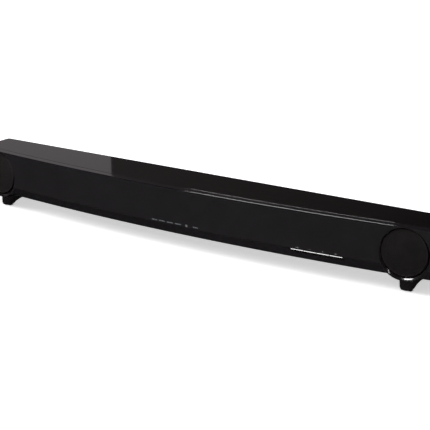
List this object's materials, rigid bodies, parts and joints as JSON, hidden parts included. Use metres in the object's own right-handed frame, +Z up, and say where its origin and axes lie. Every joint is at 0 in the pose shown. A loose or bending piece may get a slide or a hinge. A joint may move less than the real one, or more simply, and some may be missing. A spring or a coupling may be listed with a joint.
{
  "type": "soundbar",
  "caption": "Slim black soundbar with a bowed front, a glossy top, round speakers at both ends, small press keys under the front edge and low arched stands.",
  "frame": {"origin": "on the surface the stands rest on, below the middle of the case", "axes": "+X to the right seen from the front, +Y towards the back, +Z up; the front faces -Y"},
  "size_m": [0.89, 0.104, 0.098],
  "materials": {
    "gloss_black": "polished black",
    "satin_black": "satin black",
    "matte_black": "fine textured black",
    "grille_metal": "matt warm black paint",
    "rubber": "matt",
    "basket_steel": "satin black paint",
    "magnet": "matt dark grey",
    "cone_paper": "pressed paper",
    "clear_plastic": "frosted clear",
    "circuit_board": "green solder mask",
    "heatsink_aluminium": "extruded",
    "steel": "zinc plated",
    "socket_black": "moulded black",
    "socket_metal": "nickel plated",
    "lead_sheath": "flexible black sheath"
  },
  "bodies": {
    "case": {"top_panel": "gloss_black", "front_panel": "satin_black", "rear_cover": "matte_black", "bottom_cover": "matte_black", "left_end_cap": "satin_black", "left_ring_trim": "gloss_black", "left_driver_grille": "grille_metal", "left_driver_basket": "basket_steel", "left_driver_magnet": "magnet", "left_stand": "gloss_black", "left_stand_screw": "steel", "left_front_pad": "rubber", "left_rear_pad": "rubber", "left_chamber_wall": "matte_black", "left_speaker_lead": "lead_sheath", "left_rear_screw": "steel", "right_end_cap": "satin_black", "right_ring_trim": "gloss_black", "right_driver_grille": "grille_metal", "right_driver_basket": "basket_steel", "right_driver_magnet": "magnet", "right_stand": "gloss_black", "right_stand_screw": "steel", "right_front_pad": "rubber", "right_rear_pad": "rubber", "right_chamber_wall": "matte_black", "right_speaker_lead": "lead_sheath", "right_rear_screw": "steel", "middle_rear_screw": "steel", "bass_chamber_wall": "matte_black", "bass_port": "matte_black", "bass_driver_basket": "basket_steel", "bass_driver_magnet": "magnet", "key_board": "circuit_board", "indicator_light_guide": "clear_plastic", "indicator_board": "circuit_board", "remote_lens": "clear_plastic", "status_lens": "clear_plastic", "main_board": "circuit_board", "amplifier_heatsink": "heatsink_aluminium", "power_board": "circuit_board", "power_transformer": "steel", "optical_input_1": "socket_black", "optical_input_2": "socket_black", "ac_inlet": "socket_black", "analogue_input": "socket_metal", "subwoofer_output": "socket_metal"},
    "input_key": {"input_key": "gloss_black"},
    "volume_down_key": {"volume_down_key": "gloss_black"},
    "volume_up_key": {"volume_up_key": "gloss_black"},
    "power_key": {"power_key": "gloss_black"},
    "left_cone": {"left_driver_cone": "cone_paper", "left_driver_dust_cap": "cone_paper", "left_driver_surround": "rubber"},
    "right_cone": {"right_driver_cone": "cone_paper", "right_driver_dust_cap": "cone_paper", "right_driver_surround": "rubber"},
    "bass_cone": {"bass_driver_cone": "cone_paper", "bass_driver_dust_cap": "cone_paper", "bass_driver_surround": "rubber"}
  },
  "joints": [
    {"name": "input_key_press", "type": "slide", "parent": "case", "child": "input_key", "axis": [-0.0436, 0.7058, 0.7071], "range_m": [0, 0.0006], "stiffness_N_per_m": 2000},
    {"name": "volume_down_key_press", "type": "slide", "parent": "case", "child": "volume_down_key", "axis": [-0.0478, 0.7055, 0.7071], "range_m": [0, 0.0006], "stiffness_N_per_m": 2000},
    {"name": "volume_up_key_press", "type": "slide", "parent": "case", "child": "volume_up_key", "axis": [-0.0519, 0.7052, 0.7071], "range_m": [0, 0.0006], "stiffness_N_per_m": 2000},
    {"name": "power_key_press", "type": "slide", "parent": "case", "child": "power_key", "axis": [-0.056, 0.7049, 0.7071], "range_m": [0, 0.0006], "stiffness_N_per_m": 2000},
    {"name": "left_cone_travel", "type": "slide", "parent": "case", "child": "left_cone", "axis": [-0.1078, -0.9942, 0], "range_m": [-0.002, 0.002], "stiffness_N_per_m": 1500},
    {"name": "right_cone_travel", "type": "slide", "parent": "case", "child": "right_cone", "axis": [0.1078, -0.9942, 0], "range_m": [-0.002, 0.002], "stiffness_N_per_m": 1500},
    {"name": "bass_cone_travel", "type": "slide", "parent": "case", "child": "bass_cone", "axis": [0, 0, -1], "range_m": [-0.003, 0.003], "stiffness_N_per_m": 1500}
  ]
}
